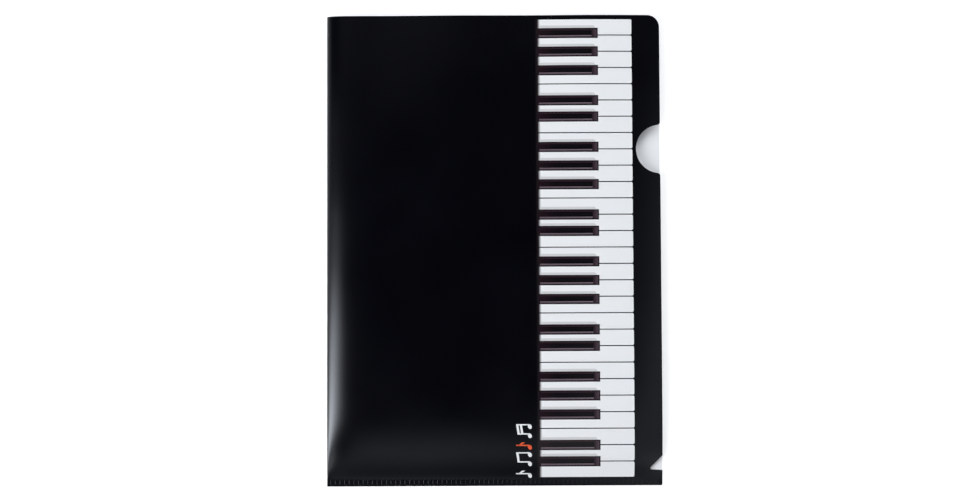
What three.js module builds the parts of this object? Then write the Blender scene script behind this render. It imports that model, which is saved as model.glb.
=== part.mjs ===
// An L-shaped folder for A4 paper, lying on its back ply. It is one sheet of plastic film, folded
// along the left side and heat welded along the bottom, so it is open at the top and on the right.
// The outside is printed black, with a piano keyboard of four octaves on the front ply.
// X runs to the right, Y from the weld to the open top, and Z up. Sizes are in millimetres, and
// heights along the sheet are measured from its welded bottom.

import * as THREE from 'three';
import { toCreasedNormals } from 'three/addons/utils/BufferGeometryUtils.js';

// The film and the outline of the folded sheet
const SHEET_WIDTH = 220;
const SHEET_HEIGHT = 310;
const FILM_THICKNESS = 0.2;
const WELD_WIDTH = 4.5;
const CORNER_RADIUS = 8;

// The thumb notch in the front ply's right side
const NOTCH_RADIUS = 16;
const NOTCH_HEIGHT = 221;
const NOTCH_FILLET = 2;

// The relief cut in the front ply's right side, which keeps the weld's end from tearing
const RELIEF_HEIGHT = 10;
const RELIEF_DEPTH = 8;
const RELIEF_SLANT = 0.5;
const RELIEF_FLAT = 1.4;
const RELIEF_OPENING = 9.7;

// How the front ply stands off the back ply: it springs up from the tight fold and from the weld,
// droops again along its free right side and waves along its free top edge
const POCKET_GAP = 6;
const FOLD_RADIUS = 1;
const FOLD_SPREAD = 8;
const FOLD_ZONE = 20;
const RISE_LENGTH = 18;
const RISE_POWER = 1.25;
const EDGE_DROOP = 1;
const EDGE_REACH = 16;
const WAVE_GAP = 0.45;
const WAVE_LENGTH = 86;
const WAVE_REACH = 150;

// The keyboard print, with its low notes at the bottom and its keys pointing right
const OCTAVES = 4;
const WHITE_KEYS_PER_OCTAVE = 7;
const KEYS_RIGHT_MARGIN = 18;
const KEYS_BOTTOM_MARGIN = 5.8;
const KEYS_TOP_MARGIN = 2.6;
const WHITE_KEY_LENGTH = 62;
const BLACK_KEY_LENGTH = 39.5;
const BLACK_KEY_WIDTH = 6.65;
const KEY_LINE_WIDTH = 0.45;

// Each black key of an octave sits on the line above this many white keys, moved up by shift
const BLACK_KEYS_OF_OCTAVE = [
  { above: 1, shift: 0 },
  { above: 2, shift: 0 },
  { above: 4, shift: -1.6 },
  { above: 5, shift: 0 },
  { above: 6, shift: 1.5 },
];

// The colours of the print and of the bare film
const OUTSIDE_BLACK = new THREE.Color(0x0d0d10);
const WHITE_KEY = new THREE.Color(0xe7e8ec);
const BLACK_KEY = new THREE.Color(0x20191e);
const KEY_LINE = new THREE.Color(0x2e2a30);
const BARE_FILM = new THREE.Color(0xe6e8eb);

// How finely the curves are divided
const FOLD_STEPS = 4;
const FOLD_COLUMNS = 8;
const CORNER_STEPS = 6;
const NOTCH_STEPS = 16;
const FILLET_STEPS = 3;
const ROW_COUNT = 20;
const ROW_CROWDING = 1.7;
const COLUMN_STEP = 14;
const SIDE_SHARES = [0.6, 1];
const SMOOTH_ANGLE = 0.6;
const LEAST_STEP = 0.2;

const LEFT = -SHEET_WIDTH / 2;
const RIGHT = SHEET_WIDTH / 2;
const FOLD_LEFT = LEFT + FILM_THICKNESS;
const KEYS_RIGHT = RIGHT - KEYS_RIGHT_MARGIN;
const KEYS_LEFT = KEYS_RIGHT - WHITE_KEY_LENGTH;
const BLACK_KEYS_RIGHT = KEYS_LEFT + BLACK_KEY_LENGTH;
const KEYS_TOP = SHEET_HEIGHT - KEYS_TOP_MARGIN;
const WHITE_KEYS = OCTAVES * WHITE_KEYS_PER_OCTAVE;
const KEY_PITCH = (KEYS_TOP - KEYS_BOTTOM_MARGIN) / WHITE_KEYS;

// A smooth step from 0 to 1
function ease(t) {
  const s = THREE.MathUtils.clamp(t, 0, 1);
  return s * s * (3 - 2 * s);
}

// The share of its full height that the front ply has reached at y, above the weld
function opened(y) {
  return 1 - Math.exp(-((Math.max(y - WELD_WIDTH, 0) / RISE_LENGTH) ** RISE_POWER));
}

// The same share to the right of the fold, which starts with an upright slope
function parted(x) {
  return Math.sqrt(1 - Math.exp(-(x - FOLD_LEFT) / FOLD_SPREAD));
}

// The clear height between the plies, right of the fold
function gapAt(x, y) {
  const droop = EDGE_DROOP * Math.exp((x - RIGHT) / EDGE_REACH);
  const nearTop = ease(1 - (SHEET_HEIGHT - y) / WAVE_REACH);
  const wave = WAVE_GAP * nearTop * Math.cos((2 * Math.PI * (x - LEFT)) / WAVE_LENGTH);
  return opened(y) * (FOLD_RADIUS + (POCKET_GAP - FOLD_RADIUS - droop + wave) * parted(x));
}

// The slope of the front ply beside the fold
function slopeAt(x, y) {
  const rise = (POCKET_GAP - FOLD_RADIUS) * opened(y);
  return (rise * (1 - parted(x) ** 2)) / (2 * FOLD_SPREAD * parted(x));
}

// Points [x, y] on an arc, with angles in degrees
function arc(centreX, centreY, radius, from, to, steps) {
  const points = [];
  for (let i = 0; i <= steps; i++) {
    const angle = THREE.MathUtils.degToRad(from + ((to - from) * i) / steps);
    points.push([centreX + radius * Math.cos(angle), centreY + radius * Math.sin(angle)]);
  }
  return points;
}

// The rows of points across the film, closer together where it rises from the weld
const rows = [0];
for (let i = 0; i <= ROW_COUNT; i++) {
  rows.push(WELD_WIDTH + (SHEET_HEIGHT - WELD_WIDTH) * (i / ROW_COUNT) ** ROW_CROWDING);
}

// The thumb notch: a half round with its two ends eased into the straight side
function notch() {
  const reach = Math.sqrt((NOTCH_RADIUS + NOTCH_FILLET) ** 2 - NOTCH_FILLET ** 2);
  const tilt = THREE.MathUtils.radToDeg(Math.asin(NOTCH_FILLET / (NOTCH_RADIUS + NOTCH_FILLET)));
  const filletX = RIGHT - NOTCH_FILLET;
  const lower = arc(filletX, NOTCH_HEIGHT - reach, NOTCH_FILLET, 0, 90 - tilt, FILLET_STEPS);
  const round = arc(RIGHT, NOTCH_HEIGHT, NOTCH_RADIUS, 270 - tilt, 90 + tilt, NOTCH_STEPS);
  const upper = arc(filletX, NOTCH_HEIGHT + reach, NOTCH_FILLET, tilt - 90, 0, FILLET_STEPS);
  return [...lower.slice(0, -1), ...round, ...upper.slice(1)];
}

// The relief cut: a wedge with a short flat at its inner end
function relief() {
  const inner = RIGHT - RELIEF_DEPTH;
  const flat = RELIEF_HEIGHT + RELIEF_SLANT;
  return [
    [RIGHT, RELIEF_HEIGHT],
    [inner, flat],
    [inner, flat + RELIEF_FLAT],
    [RIGHT, RELIEF_HEIGHT + RELIEF_OPENING],
  ];
}

// The right side of a ply from bottom to top, round its upper corner
function rightSide(cuts) {
  const cornerY = SHEET_HEIGHT - CORNER_RADIUS;
  const corner = arc(RIGHT - CORNER_RADIUS, cornerY, CORNER_RADIUS, 0, 90, CORNER_STEPS);
  const straight = rows.filter((y) => y < cornerY - LEAST_STEP);
  const isClear = (y, cut) => y < cut[0][1] - LEAST_STEP || y > cut.at(-1)[1] + LEAST_STEP;
  const clear = straight.filter((y) => cuts.every((cut) => isClear(y, cut)));
  return [...clear.map((y) => [RIGHT, y]), ...cuts.flat(), ...corner].sort((a, b) => a[1] - b[1]);
}

const backSide = rightSide([]);
const frontSide = rightSide([relief(), notch()]);

// The black keys and the lines between the white keys, each as a band with its two edges. Where
// no black key stands between two white keys, the line between them runs their full length.
const band = (middle, width) => ({ bottom: middle - width / 2, top: middle + width / 2 });
const blackKeys = [];
const keyLines = [];
const fullLines = [];
for (let key = 1; key < WHITE_KEYS; key++) {
  const y = KEYS_BOTTOM_MARGIN + key * KEY_PITCH;
  const keyLine = band(y, KEY_LINE_WIDTH);
  const black = BLACK_KEYS_OF_OCTAVE.find((entry) => entry.above === key % WHITE_KEYS_PER_OCTAVE);
  keyLines.push(keyLine);
  if (black === undefined) {
    fullLines.push(keyLine);
  } else {
    blackKeys.push(band(y + black.shift, BLACK_KEY_WIDTH));
  }
}
const edgesOf = (fields) => fields.flatMap((field) => [field.bottom, field.top]);

function isWithin(fields, y) {
  return fields.some((field) => y > field.bottom && y < field.top);
}

// The colour of the front ply's print at a point
function printColour(x, y) {
  const onKeys = x > KEYS_LEFT && x < KEYS_RIGHT && y > KEYS_BOTTOM_MARGIN && y < KEYS_TOP;
  if (!onKeys) {
    return OUTSIDE_BLACK;
  }
  if (x < BLACK_KEYS_RIGHT) {
    const colour = isWithin(fullLines, y) ? KEY_LINE : WHITE_KEY;
    return isWithin(blackKeys, y) ? BLACK_KEY : colour;
  }
  return isWithin(keyLines, y) ? KEY_LINE : WHITE_KEY;
}

// The rows of a column of the front ply, which follow the edges of the print there
function printedRows(x) {
  const edges = [];
  if (x >= KEYS_LEFT && x <= KEYS_RIGHT) {
    edges.push(KEYS_BOTTOM_MARGIN, KEYS_TOP);
  }
  if (x >= KEYS_LEFT && x <= BLACK_KEYS_RIGHT) {
    edges.push(...edgesOf(blackKeys), ...edgesOf(fullLines));
  }
  if (x >= BLACK_KEYS_RIGHT && x <= KEYS_RIGHT) {
    edges.push(...edgesOf(keyLines));
  }
  const isClear = (y) => edges.every((edge) => Math.abs(edge - y) > LEAST_STEP);
  return [...edges, ...rows.filter((y) => y <= WELD_WIDTH || y === SHEET_HEIGHT || isClear(y))];
}

// The columns of points from the fold to the ends of the keys, closer together beside the fold
const columns = [];
for (let i = 0; i <= FOLD_COLUMNS; i++) {
  columns.push(FOLD_LEFT + FOLD_ZONE * (i / FOLD_COLUMNS) ** 2);
}
for (const stop of [KEYS_LEFT, BLACK_KEYS_RIGHT, KEYS_RIGHT]) {
  const start = columns.at(-1);
  const count = Math.max(1, Math.ceil((stop - start) / COLUMN_STEP));
  for (let i = 1; i <= count; i++) {
    columns.push(start + ((stop - start) * i) / count);
  }
}

// A point of the flat back ply. Beside the fold it makes room for the fold's lower bend.
function backPoint(x, y, skin) {
  const room = Math.max(1 - (x - FOLD_LEFT) / FOLD_ZONE, 0);
  return [x + FOLD_RADIUS * opened(y) * room, y, FILM_THICKNESS - skin];
}

// A point of the front ply. Its outside lies square to the slope, and at the fold it faces left.
function frontPoint(x, y, skin) {
  const slope = x > FOLD_LEFT ? slopeAt(x, y) : Infinity;
  const lean = Math.atan(slope);
  return [x - skin * Math.sin(lean), y, FILM_THICKNESS + gapAt(x, y) + skin * Math.cos(lean)];
}

// A point of the fold's lower bend, from 0 degrees at the back ply to 90 at its left
function foldPoint(degrees, y, skin) {
  const angle = THREE.MathUtils.degToRad(degrees);
  const radius = FOLD_RADIUS * opened(y);
  return [
    FOLD_LEFT + radius - (radius + skin) * Math.sin(angle),
    y,
    FILM_THICKNESS + radius - (radius + skin) * Math.cos(angle),
  ];
}

// The lines of points that run up the film. Each has its outer and its inner points, and the
// list goes from the back ply's right side, round the fold, to the front ply's right side.
function columnLine(x, lineRows, pointAt) {
  const heights = [...lineRows].sort((a, b) => a - b);
  return {
    outer: heights.map((y) => pointAt(x, y, FILM_THICKNESS)),
    inner: heights.map((y) => pointAt(x, y, 0)),
  };
}

function sideLine(side, share, pointAt) {
  const points = side.map(([x, y]) => [KEYS_RIGHT + (x - KEYS_RIGHT) * share, y]);
  return {
    outer: points.map(([x, y]) => pointAt(x, y, FILM_THICKNESS)),
    inner: points.map(([x, y]) => pointAt(x, y, 0)),
  };
}

// The last column before a side takes the rows of that side, so that it follows its cuts
function lastRows(own, side) {
  const sideRows = side.map((point) => point[1]);
  const isClear = (y) => sideRows.every((sideY) => Math.abs(sideY - y) > LEAST_STEP);
  return [...sideRows, ...own.filter(isClear)];
}

const lines = [];
for (const share of [...SIDE_SHARES].reverse()) {
  lines.push(sideLine(backSide, share, backPoint));
}
for (const x of [...columns].reverse()) {
  lines.push(columnLine(x, x === KEYS_RIGHT ? lastRows(rows, backSide) : rows, backPoint));
}
for (let i = 1; i < FOLD_STEPS; i++) {
  lines.push(columnLine((90 * i) / FOLD_STEPS, rows, foldPoint));
}
const firstFrontLine = lines.length;
for (const x of columns) {
  const own = printedRows(x);
  lines.push(columnLine(x, x === KEYS_RIGHT ? lastRows(own, frontSide) : own, frontPoint));
}
for (const share of SIDE_SHARES) {
  lines.push(sideLine(frontSide, share, frontPoint));
}

// The triangles of the film, with one colour for each
const positions = [];
const colours = [];

function addTriangle(a, b, c, colourAt) {
  const corners = [a, b, c].map((point) => new THREE.Vector3(...point));
  const triangle = new THREE.Triangle(...corners);
  if (triangle.getArea() > 0) {
    const middle = triangle.getMidpoint(new THREE.Vector3());
    const colour = colourAt(middle.x, middle.y);
    positions.push(...a, ...b, ...c);
    colours.push(...colour, ...colour, ...colour);
  }
}

// Joins two lines of points with a strip of triangles that faces along (second - first) x up
function addStrip(first, second, colourAt) {
  let i = 0;
  let j = 0;
  while (i < first.length - 1 || j < second.length - 1) {
    const nextFirst = i < first.length - 1 ? first[i + 1][1] : Infinity;
    const nextSecond = j < second.length - 1 ? second[j + 1][1] : Infinity;
    const third = nextFirst < nextSecond ? first[i + 1] : second[j + 1];
    addTriangle(first[i], second[j], third, colourAt);
    if (nextFirst < nextSecond) {
      i += 1;
    } else {
      j += 1;
    }
  }
}

// The outside and the inside of the film. The plies are one solid below the top of the weld.
const outsideColour = () => OUTSIDE_BLACK;
const insideColour = () => BARE_FILM;
const aboveWeld = (line) => line.filter((point) => point[1] >= WELD_WIDTH);
for (let i = 1; i < lines.length; i++) {
  addStrip(lines[i - 1].outer, lines[i].outer, i > firstFrontLine ? printColour : outsideColour);
  addStrip(aboveWeld(lines[i].inner), aboveWeld(lines[i - 1].inner), insideColour);
}

// The cut edges of the film: both right sides, the bottom and the top
addStrip(lines[0].inner, lines[0].outer, insideColour);
addStrip(lines.at(-1).outer, lines.at(-1).inner, insideColour);
for (let i = 1; i < lines.length; i++) {
  const before = lines[i - 1];
  const after = lines[i];
  addTriangle(before.inner[0], after.inner[0], after.outer[0], insideColour);
  addTriangle(before.inner[0], after.outer[0], before.outer[0], insideColour);
  addTriangle(before.outer.at(-1), after.outer.at(-1), after.inner.at(-1), insideColour);
  addTriangle(before.outer.at(-1), after.inner.at(-1), before.inner.at(-1), insideColour);
}

const film = new THREE.BufferGeometry();
film.setAttribute('position', new THREE.Float32BufferAttribute(positions, 3));
film.setAttribute('color', new THREE.Float32BufferAttribute(colours, 3));

const filmMaterial = new THREE.MeshStandardMaterial({
  color: 0xffffff,
  vertexColors: true,
  roughness: 0.28,
  metalness: 0,
});
const folderSheet = new THREE.Mesh(toCreasedNormals(film, SMOOTH_ANGLE), filmMaterial);
folderSheet.name = 'folder_sheet';
folderSheet.position.y = -SHEET_HEIGHT / 2;

const group = new THREE.Group();
group.add(folderSheet);

export default group;
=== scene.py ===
# An L-shaped document folder with a piano keyboard printed on it, lying on a white table.
# Lengths are in metres. X runs to the folder's open side, Y to its open top and Z up.

import math

import bmesh
import bpy
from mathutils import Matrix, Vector


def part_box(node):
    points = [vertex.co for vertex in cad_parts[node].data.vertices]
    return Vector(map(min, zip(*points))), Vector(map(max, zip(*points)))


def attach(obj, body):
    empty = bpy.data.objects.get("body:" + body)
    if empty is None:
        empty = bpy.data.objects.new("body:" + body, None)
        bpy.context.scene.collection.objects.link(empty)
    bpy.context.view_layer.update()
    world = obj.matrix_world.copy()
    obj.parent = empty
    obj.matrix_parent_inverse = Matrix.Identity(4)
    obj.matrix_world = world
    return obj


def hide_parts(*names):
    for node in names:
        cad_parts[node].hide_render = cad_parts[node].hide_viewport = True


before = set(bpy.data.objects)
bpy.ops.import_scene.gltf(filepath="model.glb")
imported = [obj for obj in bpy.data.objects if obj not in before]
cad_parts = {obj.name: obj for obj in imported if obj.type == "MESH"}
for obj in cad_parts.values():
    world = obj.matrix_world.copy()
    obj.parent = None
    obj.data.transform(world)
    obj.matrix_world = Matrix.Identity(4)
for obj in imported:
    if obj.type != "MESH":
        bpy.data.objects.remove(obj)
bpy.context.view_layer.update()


# The sheet of film
# One sheet of polypropylene film, 0.2 mm thick, is printed on its outside and die cut. It is
# folded along the left side and heat welded along the bottom, so it is open at the top and on
# the right. It lies on its back ply, and the front ply stands a few millimetres off it.
sheet_low, sheet_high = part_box("folder_sheet")
sheet_left = sheet_low.x
sheet_right = sheet_high.x
sheet_foot = sheet_low.y
sheet_top = sheet_high.y
film_thickness = 0.0002
weld_width = 0.0045
corner_radius = 0.008
foot_radius = 0.0008

notch_radius = 0.016
notch_y = sheet_foot + 0.221
notch_fillet = 0.002
notch_reach = math.sqrt((notch_radius + notch_fillet) ** 2 - notch_fillet ** 2)
notch_turn = notch_reach * notch_radius / (notch_radius + notch_fillet)

relief_depth = 0.008
relief_foot = sheet_foot + 0.010
relief_corners = [
    (relief_foot, sheet_right),
    (relief_foot + 0.0005, sheet_right - relief_depth),
    (relief_foot + 0.0019, sheet_right - relief_depth),
    (relief_foot + 0.0097, sheet_right),
]

fold_left = sheet_left + film_thickness
fold_radius = 0.001
fold_spread = 0.008
fold_zone = 0.020
pocket_gap = 0.006
rise_length = 0.018
rise_power = 1.25
edge_droop = 0.001
edge_reach = 0.016
wave_gap = 0.00045
wave_length = 0.086
wave_reach = 0.150
ripple_height = 0.00010
ripple_x = 95.0
ripple_y = 60.0
ripple_x_lean = 25.0
ripple_y_lean = 18.0


def ease(t):
    """A smooth step from 0 to 1."""
    s = min(max(t, 0.0), 1.0)
    return s * s * (3 - 2 * s)


def opened(y):
    """The share of its full height that the front ply has reached at y, above the weld."""
    above = max(y - sheet_foot - weld_width, 0.0)
    return 1 - math.exp(-((above / rise_length) ** rise_power))


def parted(x):
    """The same share to the right of the fold, which starts with an upright slope."""
    return math.sqrt(max(1 - math.exp(-(x - fold_left) / fold_spread), 0.0))


def film_gap(x, y):
    """The clear height between the two plies, right of the fold."""
    droop = edge_droop * math.exp((x - sheet_right) / edge_reach)
    near_top = ease(1 - (sheet_top - y) / wave_reach)
    wave = wave_gap * near_top * math.cos(2 * math.pi * (x - sheet_left) / wave_length)
    across = math.sin(ripple_x * x + ripple_x_lean * y)
    along = math.cos(ripple_y * y - ripple_y_lean * x)
    ripple = ripple_height * across * along
    spring = pocket_gap - fold_radius - droop + wave + ripple
    return opened(y) * (fold_radius + spring * parted(x))


def film_top(x, y):
    """The height of the front ply's printed face."""
    return 2 * film_thickness + film_gap(x, y)


def side_x(y, is_front):
    """Where a ply ends on the right, round its corners and its cuts."""
    above = y - (sheet_top - corner_radius)
    if above > 0:
        return sheet_right - corner_radius + math.sqrt(max(corner_radius ** 2 - above ** 2, 0))
    below = sheet_foot + foot_radius - y
    if below > 0:
        return sheet_right - foot_radius + math.sqrt(max(foot_radius ** 2 - below ** 2, 0))
    if not is_front:
        return sheet_right
    away = abs(y - notch_y)
    if away < notch_turn:
        return sheet_right - math.sqrt(notch_radius ** 2 - away ** 2)
    if away < notch_reach:
        into_fillet = notch_reach - away
        return sheet_right - notch_fillet + math.sqrt(notch_fillet ** 2 - into_fillet ** 2)
    for (y0, x0), (y1, x1) in zip(relief_corners, relief_corners[1:]):
        if y0 <= y <= y1:
            return x0 + (x1 - x0) * (y - y0) / (y1 - y0)
    return sheet_right


def steps(first, last, count):
    """Evenly spaced values, both ends included."""
    return [first + (last - first) * i / count for i in range(count + 1)]


row_crowding = 1.5
closest_rows = 0.00003


def film_rows():
    """The heights of the rows of points: evenly spaced, and closer together round the cuts."""
    open_height = sheet_top - sheet_foot - weld_width
    climb = [share ** row_crowding for share in steps(0, 1, 110)]
    rows = [sheet_foot + weld_width + open_height * share for share in climb]
    rows += steps(sheet_foot, sheet_foot + foot_radius, 4)
    rows += steps(sheet_foot + foot_radius, sheet_foot + weld_width, 5)
    half_turns = steps(-math.pi / 2, math.pi / 2, 40)
    rows += [notch_y + notch_turn * math.sin(angle) for angle in half_turns]
    rows += steps(notch_y - notch_reach, notch_y - notch_turn, 5)
    rows += steps(notch_y + notch_turn, notch_y + notch_reach, 5)
    rows += [corner[0] for corner in relief_corners]
    rows += steps(relief_corners[2][0], relief_corners[3][0], 6)
    quarter_turn = steps(0, math.pi / 2, 14)
    rows += [sheet_top - corner_radius * (1 - math.sin(angle)) for angle in quarter_turn]
    rows.sort()
    return [rows[0]] + [b for a, b in zip(rows, rows[1:]) if b - a > closest_rows]


def front_point(x, y, skin):
    """A point of the front ply, whose outside lies square to its slope."""
    slope_angle = math.pi / 2
    if x > fold_left:
        rise = (pocket_gap - fold_radius) * opened(y)
        slope_angle = math.atan(rise * (1 - parted(x) ** 2) / (2 * fold_spread * parted(x)))
    height = film_thickness + film_gap(x, y)
    return (x - skin * math.sin(slope_angle), y, height + skin * math.cos(slope_angle))


def back_point(x, y, skin):
    """A point of the flat back ply, which makes room for the lower bend of the fold."""
    room = max(1 - (x - fold_left) / fold_zone, 0.0)
    return (x + fold_radius * opened(y) * room, y, film_thickness - skin)


# Across a ply, the first fifth of the lines shares the fold's zone, and the last fifth shares a
# strip along the open side, where the lines bend round the cuts.
fold_share = 0.2
cut_share = 0.8
cut_zone = 0.018


def ply_line(share, point_at, is_front):
    """A line up one ply, whose right part follows the ply's side."""
    fold_right = fold_left + fold_zone
    cut_left = sheet_right - cut_zone
    outer = []
    inner = []
    for y in rows:
        if share < fold_share:
            x = fold_left + fold_zone * (share / fold_share) ** 2
        elif share <= cut_share:
            part = (share - fold_share) / (cut_share - fold_share)
            x = fold_right + (cut_left - fold_right) * part
        else:
            part = (share - cut_share) / (1 - cut_share)
            x = cut_left + (side_x(y, is_front) - cut_left) * part
        outer.append(point_at(x, y, film_thickness))
        inner.append(point_at(x, y, 0.0))
    return outer, inner


def fold_line(angle):
    """A line up the lower bend of the fold, at an angle from the back ply (0) to its left (90)."""
    outer = []
    inner = []
    for y in rows:
        radius = fold_radius * opened(y)
        for line, skin in ((outer, film_thickness), (inner, 0.0)):
            line.append((
                fold_left + radius - (radius + skin) * math.sin(angle),
                y,
                film_thickness + radius - (radius + skin) * math.cos(angle),
            ))
    return outer, inner


rows = film_rows()
first_open_row = rows.index(sheet_foot + weld_width)
shares = steps(0, fold_share, 24) + steps(fold_share, cut_share, 54)[1:]
shares += steps(cut_share, 1, 8)[1:]
film_lines = [ply_line(share, back_point, False) for share in reversed(shares)]
film_lines += [fold_line(angle) for angle in steps(0, math.pi / 2, 8)[1:-1]]
film_lines += [ply_line(share, front_point, True) for share in shares]

film_mesh = bmesh.new()
film_points = [
    tuple([film_mesh.verts.new(point) for point in line] for line in pair)
    for pair in film_lines
]

same_place = 1e-7
crease_angle = 0.7


def add_quad(a, b, c, d, slot):
    """Adds a face to the film, unless two of its corners lie at one place."""
    corners = []
    for vertex in (a, b, c, d):
        if all((vertex.co - other.co).length > same_place for other in corners):
            corners.append(vertex)
    if len(corners) > 2:
        face = film_mesh.faces.new(corners)
        face.material_index = slot
        face.smooth = True


for (outer_a, inner_a), (outer_b, inner_b) in zip(film_points, film_points[1:]):
    for j in range(len(rows) - 1):
        add_quad(outer_a[j], outer_b[j], outer_b[j + 1], outer_a[j + 1], 0)
        if j >= first_open_row:
            add_quad(inner_b[j], inner_a[j], inner_a[j + 1], inner_b[j + 1], 1)
    add_quad(inner_a[0], inner_b[0], outer_b[0], outer_a[0], 1)
    add_quad(outer_a[-1], outer_b[-1], inner_b[-1], inner_a[-1], 1)
for side_a, side_b in ((film_points[0][1], film_points[0][0]), film_points[-1]):
    for j in range(len(rows) - 1):
        add_quad(side_a[j], side_b[j], side_b[j + 1], side_a[j + 1], 1)

bmesh.ops.remove_doubles(film_mesh, verts=film_mesh.verts, dist=2 * same_place)
loose = [vertex for vertex in film_mesh.verts if not vertex.link_faces]
bmesh.ops.delete(film_mesh, geom=loose, context="VERTS")
for edge in film_mesh.edges:
    edge.smooth = edge.calc_face_angle(0.0) < crease_angle


def new_piece(name, mesh, *materials):
    """Makes an object of the folder from a bmesh. It rides on the folder's one body."""
    data = bpy.data.meshes.new(name)
    mesh.to_mesh(data)
    mesh.free()
    piece = bpy.data.objects.new(name, data)
    bpy.context.scene.collection.objects.link(piece)
    for material in materials:
        data.materials.append(material)
    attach(piece, "root")
    return piece


def film_grain_group():
    """The fine grain of rolled film and the slow clouding of its ink, in the sheet's own place."""
    group = bpy.data.node_groups.new("film_grain", "ShaderNodeTree")
    given_values = {"Grain Size": 0.0006, "Cloud Size": 0.05, "Roughness": 0.3, "Spread": 0.1}
    for name, value in given_values.items():
        socket = group.interface.new_socket(name, in_out="INPUT", socket_type="NodeSocketFloat")
        socket.default_value = value
    for name in ("Height", "Roughness", "Cloud"):
        group.interface.new_socket(name, in_out="OUTPUT", socket_type="NodeSocketFloat")
    nodes = group.nodes
    links = group.links
    given = nodes.new("NodeGroupInput")
    result = nodes.new("NodeGroupOutput")
    place = nodes.new("ShaderNodeTexCoord")
    for size, output in (("Grain Size", "Height"), ("Cloud Size", "Cloud")):
        scale = nodes.new("ShaderNodeMath")
        scale.operation = "DIVIDE"
        scale.inputs[0].default_value = 1.0
        noise = nodes.new("ShaderNodeTexNoise")
        noise.inputs["Detail"].default_value = 3.0
        links.new(given.outputs[size], scale.inputs[1])
        links.new(scale.outputs[0], noise.inputs["Scale"])
        links.new(place.outputs["Object"], noise.inputs["Vector"])
        links.new(noise.outputs["Fac"], result.inputs[output])
    centred = nodes.new("ShaderNodeMath")
    centred.operation = "SUBTRACT"
    centred.inputs[1].default_value = 0.5
    rough = nodes.new("ShaderNodeMath")
    rough.operation = "MULTIPLY_ADD"
    links.new(noise.outputs["Fac"], centred.inputs[0])
    links.new(centred.outputs[0], rough.inputs[0])
    links.new(given.outputs["Spread"], rough.inputs[1])
    links.new(given.outputs["Roughness"], rough.inputs[2])
    links.new(rough.outputs[0], result.inputs["Roughness"])
    return group


film_grain = film_grain_group()


gloss_roughness = 0.19
matt_roughness = 0.38
bare_roughness = 0.4
ink_grain = 0.00001
bare_grain = 0.00002


def film_finish(name, dark, pale, roughness, grain_depth):
    """A finish of the film whose colour clouds slowly between two tones, under a fine grain."""
    material = bpy.data.materials.new(name)
    material.use_nodes = True
    nodes = material.node_tree.nodes
    links = material.node_tree.links
    shader = nodes["Principled BSDF"]
    grain = nodes.new("ShaderNodeGroup")
    grain.node_tree = film_grain
    grain.inputs["Roughness"].default_value = roughness
    tone = nodes.new("ShaderNodeMix")
    tone.data_type = "RGBA"
    tone.inputs["A"].default_value = (*dark, 1)
    tone.inputs["B"].default_value = (*pale, 1)
    bump = nodes.new("ShaderNodeBump")
    bump.inputs["Distance"].default_value = grain_depth
    links.new(grain.outputs["Cloud"], tone.inputs["Factor"])
    links.new(tone.outputs["Result"], shader.inputs["Base Color"])
    links.new(grain.outputs["Roughness"], shader.inputs["Roughness"])
    links.new(grain.outputs["Height"], bump.inputs["Height"])
    links.new(bump.outputs["Normal"], shader.inputs["Normal"])
    return material


black_ink = film_finish(
    "black_ink", (0.0003, 0.0004, 0.0014), (0.0005, 0.0006, 0.0020), gloss_roughness, ink_grain
)
black_shader = black_ink.node_tree.nodes["Principled BSDF"]
black_shader.inputs["Specular Tint"].default_value = (0.90, 0.93, 1.0, 1)
bare_film = film_finish(
    "bare_film", (0.86, 0.87, 0.90), (0.90, 0.91, 0.93), bare_roughness, bare_grain
)

film = new_piece("film_sheet", film_mesh, black_ink, bare_film)
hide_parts("folder_sheet")


# The ribs of the weld
# The heated bar that joins the two plies along the bottom has teeth, which leave a row of very
# low ribs on the front of the film.
rib_pitch = 0.00305
rib_width = 0.0018
rib_foot = sheet_foot + 0.0010
rib_top = sheet_foot + 0.0042
rib_height = 0.00003
rib_sink = 0.00005


def add_rib(mesh, x, face_z):
    """A rib with a rounded back and rounded ends, let into the film's face."""
    rings = []
    for share in steps(-1, 1, 8):
        y = (rib_foot + rib_top) / 2 + (rib_top - rib_foot) / 2 * math.sin(share * math.pi / 2)
        full = math.sqrt(max(1 - share ** 6, 0.02))
        ring = []
        for angle in steps(0, math.pi, 6):
            height = rib_height * full * math.sin(angle)
            ring.append(mesh.verts.new((
                x - rib_width / 2 * full * math.cos(angle),
                y,
                face_z + height,
            )))
        for share_x in (1, -1):
            half = share_x * rib_width / 2 * full
            ring.append(mesh.verts.new((x + half, y, face_z - rib_sink)))
        rings.append(ring)
    for ring_a, ring_b in zip(rings, rings[1:]):
        for i in range(len(ring_a)):
            k = (i + 1) % len(ring_a)
            mesh.faces.new((ring_a[i], ring_a[k], ring_b[k], ring_b[i]))
    mesh.faces.new(reversed(rings[0]))
    mesh.faces.new(rings[-1])


rib_mesh = bmesh.new()
rib_count = int((sheet_right - sheet_left - 2 * rib_pitch) / rib_pitch)
for i in range(rib_count + 1):
    rib_x = sheet_left + rib_pitch + i * rib_pitch
    add_rib(rib_mesh, rib_x, film_top(rib_x, sheet_foot))
bmesh.ops.recalc_face_normals(rib_mesh, faces=rib_mesh.faces)
for face in rib_mesh.faces:
    face.smooth = len(face.verts) == 4
new_piece("weld_ribs", rib_mesh, black_ink)


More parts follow.
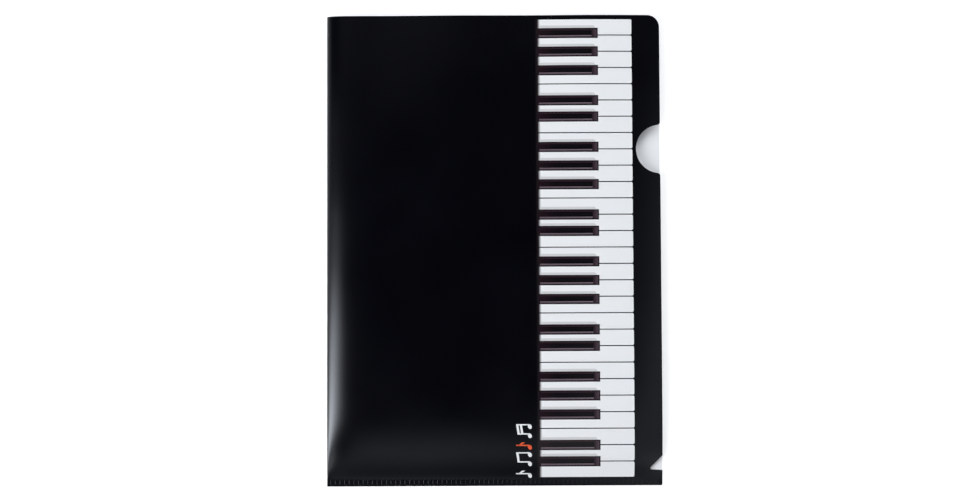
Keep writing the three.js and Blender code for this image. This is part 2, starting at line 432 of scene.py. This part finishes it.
# The white keys
# Twenty eight white keys are printed across the front ply, in four octaves from low at the
# bottom to high at the top. Thin gaps of the black ground part them, and at the left they run in
# under a shade, as if under the instrument's lid.
octaves = 4
white_keys = octaves * 7
keys_right = sheet_right - 0.0184
white_key_length = 0.0613
keys_left = keys_right - white_key_length
keys_foot = sheet_foot + 0.00531
keys_top = sheet_top - 0.00260
key_pitch = (keys_top - keys_foot) / white_keys
key_gap = 0.00068
key_corner = 0.0009
shade_left = keys_left - 0.0028
shade_right = keys_left - 0.0009
fade_right = keys_left + 0.0011
shade_roughness = 0.2
ink_lift = 0.00002
ink_sink = 0.00006
ink_step = 0.0035


def add_print(mesh, heights, left_at, right_at, lift, slot=0):
    """A thin field of ink that follows the film's face, between two sides given for each height."""
    widest = max(right_at(y) - left_at(y) for y in heights)
    columns = max(1, math.ceil(widest / ink_step))
    layers = []
    for offset in (lift, -ink_sink):
        grid = []
        for y in heights:
            line = steps(left_at(y), right_at(y), columns)
            grid.append([mesh.verts.new((x, y, film_top(x, y) + offset)) for x in line])
        layers.append(grid)
    top, under = layers
    faces = []
    for a, b, c, d in zip(top, top[1:], under, under[1:]):
        for i in range(columns):
            faces.append(mesh.faces.new((a[i], a[i + 1], b[i + 1], b[i])))
            faces.append(mesh.faces.new((c[i + 1], c[i], d[i], d[i + 1])))
        faces.append(mesh.faces.new((a[0], b[0], d[0], c[0])))
        faces.append(mesh.faces.new((b[-1], a[-1], c[-1], d[-1])))
    for i in range(columns):
        faces.append(mesh.faces.new((top[0][i + 1], top[0][i], under[0][i], under[0][i + 1])))
        faces.append(mesh.faces.new((top[-1][i], top[-1][i + 1], under[-1][i + 1], under[-1][i])))
    for face in faces:
        face.material_index = slot


def print_rows(low, high):
    """Heights from low to high, close enough together for the ink to follow the film."""
    return steps(low, high, max(1, math.ceil((high - low) / ink_step)))


def fading_finish(name, near, far, start, end, roughness):
    """An ink whose colour runs from near to far along the keys, over the film's fine grain."""
    material = film_finish(name, far, far, roughness, ink_grain)
    nodes = material.node_tree.nodes
    links = material.node_tree.links
    shader = nodes["Principled BSDF"]
    place = nodes.new("ShaderNodeTexCoord")
    split = nodes.new("ShaderNodeSeparateXYZ")
    along = nodes.new("ShaderNodeMapRange")
    along.interpolation_type = "SMOOTHSTEP"
    along.inputs["From Min"].default_value = start
    along.inputs["From Max"].default_value = end
    fade = nodes.new("ShaderNodeMix")
    fade.data_type = "RGBA"
    fade.inputs["A"].default_value = (*near, 1)
    fade.inputs["B"].default_value = (*far, 1)
    links.new(place.outputs["Object"], split.inputs["Vector"])
    links.new(split.outputs["X"], along.inputs["Value"])
    links.new(along.outputs["Result"], fade.inputs["Factor"])
    links.new(fade.outputs["Result"], shader.inputs["Base Color"])
    return material


def white_key_right(y, low, high):
    """The right end of a white key, with its two corners rounded."""
    inside = min(y - low, high - y)
    if inside >= key_corner:
        return keys_right
    rounding = math.sqrt(max(key_corner ** 2 - (key_corner - inside) ** 2, 0))
    return keys_right - key_corner + rounding


white_mesh = bmesh.new()
for key in range(white_keys):
    low = keys_foot + key * key_pitch + key_gap / 2
    high = low + key_pitch - key_gap
    bend = [key_corner * share for share in (0, 0.12, 0.35, 0.65)]
    heights = [low + b for b in bend] + print_rows(low + key_corner, high - key_corner)
    heights += [high - b for b in reversed(bend)]
    add_print(
        white_mesh,
        heights,
        lambda y: shade_right,
        lambda y: white_key_right(y, low, high),
        ink_lift,
    )
add_print(
    white_mesh,
    print_rows(keys_foot, keys_top),
    lambda y: shade_left,
    lambda y: shade_right,
    ink_lift,
    1,
)
ground_tone = (0.0004, 0.0005, 0.0017)
shade_tone = (0.013, 0.0088, 0.0112)
paper_tone = (0.83, 0.84, 0.86)
white_ink = fading_finish(
    "white_ink", shade_tone, paper_tone, shade_right, fade_right, matt_roughness
)
shade_ink = fading_finish(
    "lid_shade", ground_tone, shade_tone, shade_left, shade_right, shade_roughness
)
new_piece("white_keys", white_mesh, white_ink, shade_ink)


# The black keys
# Five black keys stand between the white keys of each octave. The print draws each one as a
# raised key lit from below: a dark outline, a reddish slope above a black face, a pale line and a
# slope below it, a lighter end, and a soft shadow on the white key above it.
black_key_length = 0.0390
black_key_width = 0.00675
black_key_drop = 0.0001
black_right = keys_left + black_key_length
black_key_places = ((1, 0.0), (2, 0.0), (4, -0.0016), (5, 0.0), (6, 0.0015))
outline_width = 0.00075
slope_width = 0.0008
lower_slope_width = 0.0005
glint_width = 0.00065
end_length = 0.0034
outline_lift = 0.00005
inner_lift = 0.00006
shadow_lift = 0.000035
shadow_left = keys_left + 0.0006
shadow_right = black_right - 0.0014
shadow_height = 0.0019
shadow_lean = 0.9
shadow_tones = (0.63, 0.60, 0.61, 0.70)


def add_field(mesh, low, high, left, right, lift, slot):
    """A plain field of ink between two heights and two sides."""
    add_print(mesh, print_rows(low, high), lambda y: left, lambda y: right, lift, slot)


black_mesh = bmesh.new()
shadow_mesh = bmesh.new()
for octave in range(octaves):
    for keys_below, shift in black_key_places:
        middle = keys_foot + (octave * 7 + keys_below) * key_pitch + shift - black_key_drop
        low = middle - black_key_width / 2
        high = middle + black_key_width / 2
        inner_low = low + outline_width
        inner_high = high - outline_width
        lower_top = inner_low + lower_slope_width
        face_low = lower_top + glint_width
        face_high = inner_high - slope_width
        inner_right = black_right - outline_width
        end_left = inner_right - end_length
        add_field(black_mesh, low, high, shade_right, black_right, outline_lift, 0)
        add_field(black_mesh, face_high, inner_high, shade_right, end_left, inner_lift, 1)
        add_field(black_mesh, face_low, face_high, shade_right, end_left, inner_lift, 2)
        add_field(black_mesh, lower_top, face_low, keys_left, end_left, inner_lift, 3)
        add_field(black_mesh, inner_low, lower_top, keys_left, end_left, inner_lift, 4)
        add_field(black_mesh, inner_low, inner_high, end_left, inner_right, inner_lift, 5)
        shadow_steps = steps(high, high + shadow_height, len(shadow_tones))
        for i, (foot, top) in enumerate(zip(shadow_steps, shadow_steps[1:])):
            add_print(
                shadow_mesh,
                [foot, top],
                lambda y: shadow_left,
                lambda y: shadow_right - shadow_lean * (y - high),
                shadow_lift,
                i,
            )


def black_key_ink(name, near, far, left, right):
    """One of the black keys' inks, whose colour runs from near to far along the key."""
    return fading_finish("black_key_" + name, near, far, left, right, gloss_roughness)


lid_right = keys_left + 0.001
red_right = keys_left + 0.012
outline_ink = black_key_ink(
    "outline", (0.0070, 0.0050, 0.0060), (0.0125, 0.0070, 0.0098), shade_right, lid_right
)
slope_ink = black_key_ink(
    "slope", (0.011, 0.007, 0.009), (0.024, 0.0125, 0.018), shade_right, lid_right
)
face_ink = black_key_ink(
    "face", (0.012, 0.0052, 0.0085), (0.0040, 0.0030, 0.0048), keys_left, red_right
)
glint_ink = black_key_ink(
    "glint", (0.13, 0.10, 0.12), (0.17, 0.135, 0.16), keys_left, black_right
)
lower_ink = black_key_ink(
    "lower_slope", (0.085, 0.060, 0.074), (0.048, 0.032, 0.042), keys_left, black_right
)
end_ink = black_key_ink(
    "end", (0.022, 0.012, 0.018), (0.066, 0.043, 0.057), end_left, inner_right
)
new_piece(
    "black_keys", black_mesh, outline_ink, slope_ink, face_ink, glint_ink, lower_ink, end_ink
)
shadow_inks = []
for i, tone in enumerate(shadow_tones):
    dark = (tone, tone, tone * 1.02)
    pale = (tone * 1.02, tone * 1.02, tone * 1.04)
    shadow_ink = film_finish("key_shadow_%d" % i, dark, pale, matt_roughness, ink_grain)
    shadow_inks.append(shadow_ink)
new_piece("key_shadows", shadow_mesh, *shadow_inks)


# The printed notes
# A row of small music notes is printed beside the low keys and reads up the sheet: a single
# note, a pair under one beam, an orange note and a pair under two beams.
notes_foot = sheet_foot + 0.0049
notes_base = sheet_left + 0.1343
notes_height = 0.0103
note_half_length = 0.00165
note_half_height = 0.00125
note_tilt = math.radians(24)
stem_width = 0.0008
beam_width = 0.0015
stem_clearance = 0.0002
beam_rise = 0.0010
beam_pitch = 0.0024
flag_length = 0.0024
flag_drops = (0.0028, 0.0044)
flag_root = 0.0006
flag_tip = 0.0009
single_place = 0.0018
orange_place = 0.0205
note_pairs = ((0.0096, 0.0156, 1), (0.0280, 0.0340, 2))


def add_note_head(mesh, along, up, slot):
    """An oval note head that leans up along the row, given by its middle."""
    lean_cos = math.cos(note_tilt)
    lean_sin = math.sin(note_tilt)
    square_a = (lean_sin / note_half_length) ** 2 + (lean_cos / note_half_height) ** 2
    reach = note_half_length * note_half_height * math.sqrt(square_a)

    def side(y, sign):
        across = y - notes_foot - along
        mixed = across * lean_cos * lean_sin * (
            1 / note_half_length ** 2 - 1 / note_half_height ** 2
        )
        square_c = (across * lean_cos / note_half_length) ** 2 + (
            across * lean_sin / note_half_height
        ) ** 2
        root = math.sqrt(max(mixed ** 2 - square_a * (square_c - 1), 0.0))
        return notes_base - up - (-mixed - sign * root) / square_a

    turns = steps(-math.pi / 2, math.pi / 2, 14)
    heights = [notes_foot + along + reach * math.sin(turn) for turn in turns]
    add_print(mesh, heights, lambda y: side(y, -1), lambda y: side(y, 1), ink_lift, slot)


def add_bar(mesh, start, end, low, high, slot, rise=0.0):
    """A straight stroke along the row from start to end, between two heights above its base."""
    def lift(y):
        return rise * (y - notes_foot - start) / (end - start)

    add_print(
        mesh,
        steps(notes_foot + start, notes_foot + end, 8),
        lambda y: notes_base - high - lift(y),
        lambda y: notes_base - low - lift(y),
        ink_lift,
        slot,
    )


def add_note(mesh, along, slot, stem_top):
    """A note head with its stem. The stem's place along the row is given back."""
    add_note_head(mesh, along, note_half_height, slot)
    stem = along + note_half_length - stem_width
    add_bar(mesh, stem, stem + stem_width, note_half_height, stem_top, slot)
    return stem


def add_flag(mesh, stem, top, slot):
    """The curved flag at the top of a single note's stem."""
    def curve(y, drop):
        share = (y - notes_foot - stem) / flag_length
        return notes_base - top + drop * math.sqrt(max(share, 0.0)) + flag_tip * share

    add_print(
        mesh,
        steps(notes_foot + stem, notes_foot + stem + flag_length, 10),
        lambda y: curve(y, flag_drops[0]),
        lambda y: curve(y, flag_drops[1]) + flag_root,
        ink_lift,
        slot,
    )


notes_mesh = bmesh.new()
single_stem = add_note(notes_mesh, single_place, 0, notes_height)
add_flag(notes_mesh, single_stem, notes_height, 0)
for first_place, second_place, beams in note_pairs:
    second_top = notes_height - stem_clearance
    first_stem = add_note(notes_mesh, first_place, 0, second_top - beam_rise)
    second_stem = add_note(notes_mesh, second_place, 0, second_top)
    for beam in range(beams):
        beam_top = notes_height - beam_rise - beam * beam_pitch
        add_bar(
            notes_mesh,
            first_stem,
            second_stem + stem_width,
            beam_top - beam_width,
            beam_top,
            0,
            beam_rise,
        )
orange_stem = add_note(notes_mesh, orange_place, 1, notes_height)
add_flag(notes_mesh, orange_stem, notes_height, 1)
notes_white = film_finish(
    "notes_white", (0.80, 0.81, 0.83), (0.84, 0.85, 0.87), matt_roughness, ink_grain
)
notes_orange = film_finish(
    "notes_orange", (0.74, 0.095, 0.028), (0.78, 0.110, 0.034), matt_roughness, ink_grain
)
new_piece("printed_notes", notes_mesh, notes_white, notes_orange)


# The table
# A smooth white table top carries the folder and takes its soft shadow. It looks plain white to
# the camera and in the film's gloss, as a sheet of lit paper does.
table_size = 6.0
table_clearance = 0.00002
bpy.ops.mesh.primitive_plane_add(size=table_size, location=(0, 0, -table_clearance))
table = bpy.context.object
table.name = "table"
table_finish = bpy.data.materials.new("table_white")
table_finish.use_nodes = True
table_nodes = table_finish.node_tree.nodes
table_links = table_finish.node_tree.links
table_shader = table_nodes["Principled BSDF"]
table_shader.inputs["Base Color"].default_value = (0.9, 0.9, 0.9, 1)
table_shader.inputs["Roughness"].default_value = 0.7
table_shader.inputs["Specular IOR Level"].default_value = 0.0
table_shader.inputs["Emission Color"].default_value = (1, 1, 1, 1)
ray = table_nodes.new("ShaderNodeLightPath")
seen = table_nodes.new("ShaderNodeMath")
seen.operation = "MAXIMUM"
seen_through = table_nodes.new("ShaderNodeMath")
seen_through.operation = "MAXIMUM"
glow = table_nodes.new("ShaderNodeMath")
glow.operation = "MULTIPLY"
glow.inputs[1].default_value = 0.34
table_links.new(ray.outputs["Is Camera Ray"], seen.inputs[0])
table_links.new(ray.outputs["Is Glossy Ray"], seen.inputs[1])
table_links.new(seen.outputs[0], seen_through.inputs[0])
table_links.new(ray.outputs["Is Transmission Ray"], seen_through.inputs[1])
table_links.new(seen_through.outputs[0], glow.inputs[0])
table_links.new(glow.outputs[0], table_shader.inputs["Emission Strength"])
table.data.materials.append(table_finish)


# The studio
# A pale room that is darker overhead, where the camera hangs, so the flat film stays black.
# Soft boxes stand around the table. The tall one on the left draws the long highlight beside the
# fold, and the one behind the folder lights the print.
studio = bpy.data.worlds.new("studio")
bpy.context.scene.world = studio
studio.use_nodes = True
sky = studio.node_tree.nodes
sky_links = studio.node_tree.links
direction = sky.new("ShaderNodeTexCoord")
upward = sky.new("ShaderNodeSeparateXYZ")
ceiling = sky.new("ShaderNodeMapRange")
ceiling.interpolation_type = "SMOOTHSTEP"
ceiling.inputs["From Min"].default_value = 0.25
ceiling.inputs["From Max"].default_value = 0.75
ceiling.inputs["To Min"].default_value = 0.70
ceiling.inputs["To Max"].default_value = 0.01
sky_links.new(direction.outputs["Generated"], upward.inputs["Vector"])
sky_links.new(upward.outputs["Z"], ceiling.inputs["Value"])
sky_links.new(ceiling.outputs["Result"], sky["Background"].inputs["Strength"])
sky["Background"].inputs["Color"].default_value = (1, 1, 1, 1)

sheet_middle = (sheet_low + sheet_high) / 2


def add_soft_box(name, place, width, height, power):
    """A rectangular lamp that faces the folder and fades out towards its edges."""
    lamp = bpy.data.lights.new(name, "AREA")
    lamp.shape = "RECTANGLE"
    lamp.size = width
    lamp.size_y = height
    lamp.energy = power
    lamp.color = (0.95, 0.975, 1.0)
    lamp.use_nodes = True
    nodes = lamp.node_tree.nodes
    links = lamp.node_tree.links
    across = nodes.new("ShaderNodeNewGeometry")
    split = nodes.new("ShaderNodeSeparateXYZ")
    both = nodes.new("ShaderNodeMath")
    both.operation = "MULTIPLY"
    links.new(across.outputs["Parametric"], split.inputs["Vector"])
    for i, side in enumerate(("X", "Y")):
        rest = nodes.new("ShaderNodeMath")
        rest.operation = "SUBTRACT"
        rest.inputs[0].default_value = 1.0
        hill = nodes.new("ShaderNodeMath")
        hill.operation = "MULTIPLY"
        taller = nodes.new("ShaderNodeMath")
        taller.operation = "MULTIPLY"
        taller.inputs[1].default_value = 4.0
        softer = nodes.new("ShaderNodeMath")
        softer.operation = "POWER"
        softer.inputs[1].default_value = 2.0
        links.new(split.outputs[side], rest.inputs[1])
        links.new(split.outputs[side], hill.inputs[0])
        links.new(rest.outputs[0], hill.inputs[1])
        links.new(hill.outputs[0], taller.inputs[0])
        links.new(taller.outputs[0], softer.inputs[0])
        links.new(softer.outputs[0], both.inputs[i])
    links.new(both.outputs[0], nodes["Emission"].inputs["Strength"])
    holder = bpy.data.objects.new(name, lamp)
    holder.location = place
    holder.rotation_euler = (sheet_middle - Vector(place)).to_track_quat("-Z", "Y").to_euler()
    bpy.context.scene.collection.objects.link(holder)


add_soft_box("soft_box_left", (-0.91, -0.20, 0.69), 0.42, 1.80, 31.0)
add_soft_box("soft_box_front_left", (-0.62, -0.62, 0.72), 0.50, 0.80, 6.0)
add_soft_box("soft_box_front", (-0.12, -0.52, 1.00), 0.50, 0.75, 0.55)
add_soft_box("soft_box_front_right", (0.50, -0.66, 0.90), 0.60, 0.65, 4.0)
add_soft_box("soft_box_right", (0.36, -0.15, 1.10), 1.80, 0.50, 1.45)
add_soft_box("soft_box_back", (0.36, 1.56, 1.30), 2.60, 1.50, 92.0)
add_soft_box("soft_box_back_high", (-0.20, 0.45, 1.05), 0.90, 0.60, 0.26)


# The camera
# It hangs over the folder and looks down, tipped slightly from the folder's foot, and frames it
# as 469 of the picture's 500 rows.
picture_width = 980
picture_height = 500
sheet_rows = 469.3
camera_distance = 1.20
camera_tilt = math.radians(2.8)
camera_turn = math.radians(-0.25)
aim_right_of_left_side = 0.1075
sensor_width = 0.036

view_height = (sheet_top - sheet_foot) * picture_height / sheet_rows
view_width = view_height * picture_width / picture_height
lens = bpy.data.cameras.new("camera")
lens.sensor_width = sensor_width * 1000
lens.lens = sensor_width * 1000 * camera_distance / view_width
camera = bpy.data.objects.new("camera", lens)
bpy.context.scene.collection.objects.link(camera)
camera.rotation_euler = (camera_tilt, 0, camera_turn)
aim = Vector((sheet_left + aim_right_of_left_side, 0, 0))
away = camera.rotation_euler.to_matrix() @ Vector((0, 0, 1))
camera.location = aim + camera_distance * away
bpy.context.scene.camera = camera
bpy.context.scene.view_settings.view_transform = "Standard"
